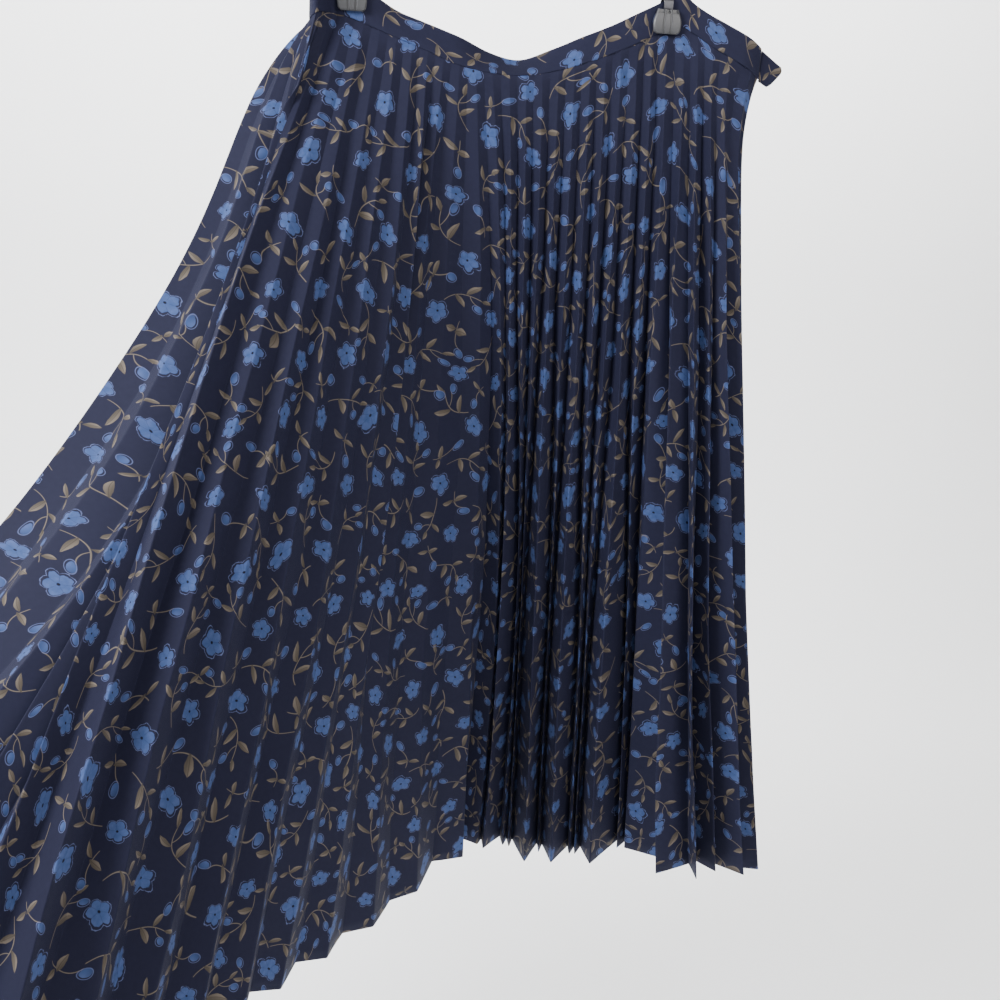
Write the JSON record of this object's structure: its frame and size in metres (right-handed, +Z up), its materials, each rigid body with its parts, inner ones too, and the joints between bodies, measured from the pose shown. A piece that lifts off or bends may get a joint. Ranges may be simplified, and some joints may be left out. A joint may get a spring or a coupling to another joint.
{
  "type": "pleated maxi skirt on a clip hanger",
  "caption": "Long sunray-pleated skirt with a plain waistband, hung by its band from a clip hanger, one side of the hem held out.",
  "frame": {"origin": "inside top of the hanger's hook, where it rests on its rail", "axes": "+Z up, +X along the hanger bar towards the skirt's underlap end, -Y the front of the skirt"},
  "size_m": [1.0574, 0.654, 1.1095],
  "materials": {
    "printed_crepe": "dark navy with a blue and tan flower print",
    "band_cloth": "the same print on a firm band",
    "grey_plastic": "satin",
    "bright_steel": "polished",
    "dark_steel": "dark"
  },
  "bodies": {
    "root": {"skirt_front": "printed_crepe", "skirt_back": "printed_crepe", "waistband_front": "band_cloth", "waistband_back": "band_cloth", "waistband_tab": "band_cloth", "hanger_bar": "bright_steel", "hanger_hook": "bright_steel", "clip_left_front": "grey_plastic", "clip_left_back": "grey_plastic", "clip_left_strap": "dark_steel", "clip_right_front": "grey_plastic", "clip_right_back": "grey_plastic", "clip_right_strap": "dark_steel"}
  },
  "joints": []
}
